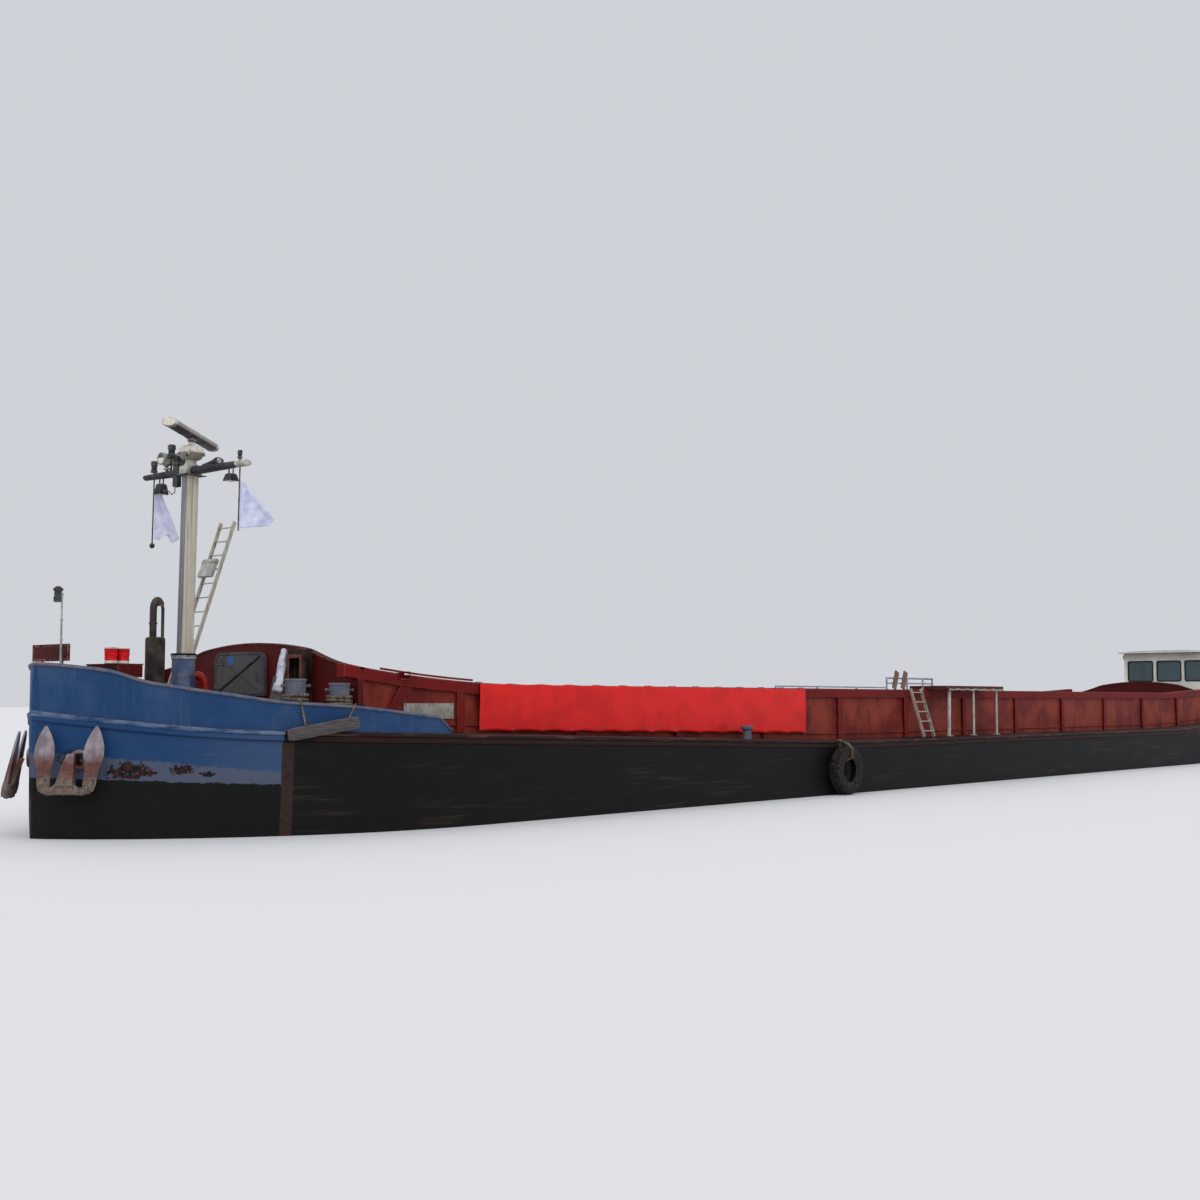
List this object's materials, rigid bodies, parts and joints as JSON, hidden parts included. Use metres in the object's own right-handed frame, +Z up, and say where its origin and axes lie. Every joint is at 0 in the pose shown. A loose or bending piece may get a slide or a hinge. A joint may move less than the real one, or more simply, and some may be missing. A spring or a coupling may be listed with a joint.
{
  "type": "river barge scale model, 1:2",
  "caption": "Open-hold inland motor barge, half-size model, with radar mast, anchors, bollards, wheelhouse, propeller and rudder.",
  "frame": {"origin": "amidships on the centreline, on the flat bottom", "axes": "+X to the bow, +Y to port, +Z up"},
  "size_m": [27.6243, 3.5025, 3.9632],
  "materials": {
    "blue_paint": "weathered",
    "tar_paint": "matt tar",
    "oxide_paint": "weathered",
    "deck_paint": "matt",
    "grey_paint": "matt",
    "black_paint": "satin",
    "red_paint": "satin",
    "white_paint": "satin",
    "mast_alloy": "weathered",
    "anchor_iron": "galvanised, rusty",
    "galvanised": "galvanised",
    "cream_plastic": "aged",
    "red_plastic": "satin",
    "banner_cloth": "woven",
    "flag_cloth": "woven",
    "grey_wood": "worn",
    "tyre_rubber": "matt",
    "bronze": "satin"
  },
  "bodies": {
    "hull": {"hull_bow": "blue_paint", "hull_stern": "tar_paint", "hold_floor": "deck_paint", "side_port": "tar_paint", "side_starboard": "tar_paint", "coaming_port": "oxide_paint", "coaming_starboard": "oxide_paint", "bulkhead_fore": "oxide_paint", "bulkhead_aft": "oxide_paint", "bulwark_bow": "blue_paint", "bulwark_stern": "blue_paint", "anchor_port": "anchor_iron", "anchor_starboard": "anchor_iron", "bollard_fore_port": "grey_paint", "bollard_fore_starboard": "grey_paint", "bollard_aft_port": "grey_paint", "bollard_aft_starboard": "grey_paint", "windlass_frame": "oxide_paint", "paint_drums": "red_plastic", "exhaust_stack": "black_paint", "vent_cowl": "red_paint", "deck_drum": "blue_paint", "mast_base": "blue_paint", "jackstaff": "white_paint", "name_board": "oxide_paint", "locker": "black_paint", "wrapped_bundle": "flag_cloth", "ladder_fore": "mast_alloy", "number_plate_port": "white_paint", "number_plate_starboard": "white_paint", "banner": "banner_cloth", "fender_plank": "grey_wood", "tyre_fender": "tyre_rubber", "loading_platform": "grey_wood", "platform_rail": "mast_alloy", "ladder_side": "mast_alloy", "engine_trunk": "oxide_paint", "wheelhouse_front": "white_paint", "wheelhouse_back": "white_paint", "wheelhouse_port": "white_paint", "wheelhouse_starboard": "white_paint", "wheelhouse_roof": "white_paint", "helm": "grey_paint", "cabin": "white_paint", "skeg": "tar_paint"},
    "mast_body": {"mast": "mast_alloy", "crosstree": "black_paint", "radar_gearbox": "cream_plastic", "flag_port": "flag_cloth", "flag_starboard": "flag_cloth"},
    "scanner": {"radar_scanner": "cream_plastic"},
    "fore_door_leaf": {"fore_door": "grey_paint"},
    "windlass_shaft": {"windlass_drum": "galvanised"},
    "hatch_lid": {"engine_hatch": "grey_paint"},
    "door_port": {"wheelhouse_door_port": "white_paint"},
    "door_starboard": {"wheelhouse_door_starboard": "white_paint"},
    "screw": {"propeller": "bronze"},
    "rudder_blade": {"rudder": "tar_paint"}
  },
  "joints": [
    {"name": "mast_lift", "type": "slide", "parent": "hull", "child": "mast_body", "axis": [-0.0175, 0, 0.9998], "range_m": [-1.25, 0]},
    {"name": "radar_turn", "type": "hinge", "parent": "mast_body", "child": "scanner", "pos_m": [12.39637, 0, 3.97462], "axis": [-0.0175, 0, 0.9998], "continuous": true},
    {"name": "fore_door_hinge", "type": "hinge", "parent": "hull", "child": "fore_door_leaf", "pos_m": [11.786, -0.475, 1.87], "axis": [0, 0, -1], "range_deg": [0, 100]},
    {"name": "windlass_turn", "type": "hinge", "parent": "hull", "child": "windlass_shaft", "pos_m": [13.075, 0, 1.83], "axis": [0, 1, 0], "continuous": true},
    {"name": "engine_hatch_hinge", "type": "hinge", "parent": "hull", "child": "hatch_lid", "pos_m": [-8.42, 0, 1.881], "axis": [0, 1, 0], "range_deg": [0, 100]},
    {"name": "wheelhouse_door_port_hinge", "type": "hinge", "parent": "hull", "child": "door_port", "pos_m": [-9.93, 0.875, 2], "axis": [0, 0, -1], "range_deg": [0, 95]},
    {"name": "wheelhouse_door_starboard_hinge", "type": "hinge", "parent": "hull", "child": "door_starboard", "pos_m": [-9.93, -0.875, 2], "axis": [0, 0, 1], "range_deg": [0, 95]},
    {"name": "propeller_turn", "type": "hinge", "parent": "hull", "child": "screw", "pos_m": [-12.38, 0, 0.41], "axis": [1, 0, 0], "continuous": true},
    {"name": "rudder_turn", "type": "hinge", "parent": "hull", "child": "rudder_blade", "pos_m": [-13.025, 0, 0.4], "axis": [0, 0, 1], "range_deg": [-50, 50]}
  ]
}
